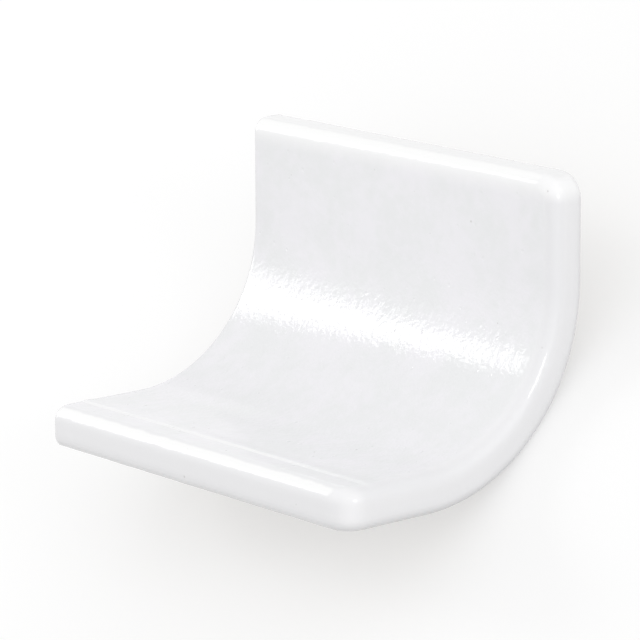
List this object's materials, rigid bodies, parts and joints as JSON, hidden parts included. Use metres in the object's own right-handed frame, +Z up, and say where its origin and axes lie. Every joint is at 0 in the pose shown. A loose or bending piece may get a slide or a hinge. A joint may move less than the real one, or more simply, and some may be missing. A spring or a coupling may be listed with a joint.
{
  "type": "stair tread cove tile",
  "caption": "Concave one-piece ceramic trim tile: two equal legs joined by a round cove, glazed inside, with bullnose lips, one bullnose end and one cut end, for a stair's inner corner.",
  "frame": {"origin": "middle of the line along which the round heel rests on the floor, at the centre of the tile's length", "axes": "+X along the tile towards its bullnose end, +Z up out of the open cove, with the tread leg rising towards -Y and the riser leg towards +Y"},
  "size_m": [0.073, 0.069, 0.0258],
  "materials": {
    "white_glaze": "glossy white glaze with faint orange peel, bare clay on the keyed back"
  },
  "bodies": {
    "root": {"cove_tile": "white_glaze"}
  },
  "joints": []
}
